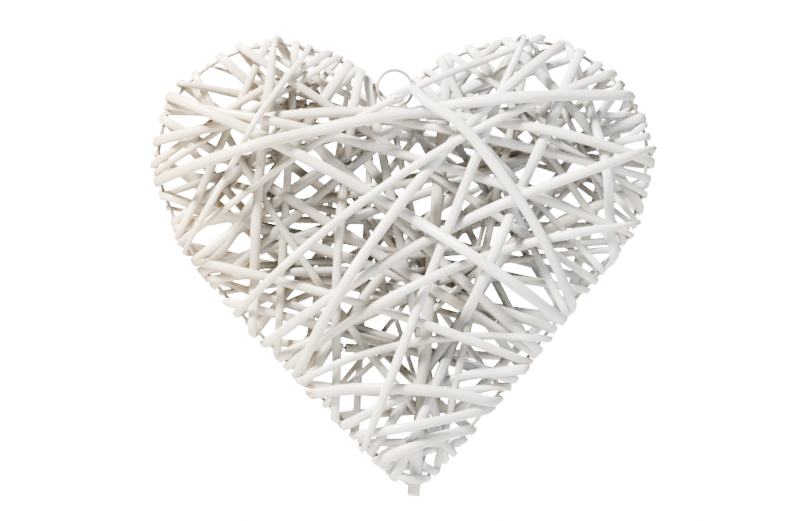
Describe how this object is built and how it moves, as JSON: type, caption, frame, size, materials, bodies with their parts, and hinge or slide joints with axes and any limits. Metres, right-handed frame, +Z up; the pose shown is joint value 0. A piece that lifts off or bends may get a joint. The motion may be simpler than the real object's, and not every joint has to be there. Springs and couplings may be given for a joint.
{
  "type": "wicker heart",
  "caption": "Heart of white painted willow rods wound at random round a heart-shaped wire, with a wire hanging ring in its notch.",
  "frame": {"origin": "top of the inside of the hanging ring, where a hook bears", "axes": "+X across the heart, to its right seen from the front; +Z up; the front faces -Y"},
  "size_m": [0.4084, 0.1052, 0.3636],
  "materials": {
    "white_paint": "peeled willow rods in satin white paint, worn thin at the wraps",
    "painted_wire": "steel wire with beige-white paint",
    "ring_wire": "steel wire ring, white paint worn at the bends"
  },
  "bodies": {
    "root": {"frame_wire": "painted_wire", "hanging_ring": "ring_wire", "willow_rod_01": "white_paint", "willow_rod_02": "white_paint", "willow_rod_03": "white_paint", "willow_rod_04": "white_paint", "willow_rod_05": "white_paint", "willow_rod_06": "white_paint", "willow_rod_07": "white_paint", "willow_rod_08": "white_paint", "willow_rod_09": "white_paint", "willow_rod_10": "white_paint", "willow_rod_11": "white_paint", "willow_rod_12": "white_paint", "willow_rod_13": "white_paint", "willow_rod_14": "white_paint", "willow_rod_15": "white_paint", "willow_rod_16": "white_paint", "willow_rod_17": "white_paint", "willow_rod_18": "white_paint", "willow_rod_19": "white_paint", "willow_rod_20": "white_paint", "willow_rod_21": "white_paint", "willow_rod_22": "white_paint"}
  },
  "joints": []
}
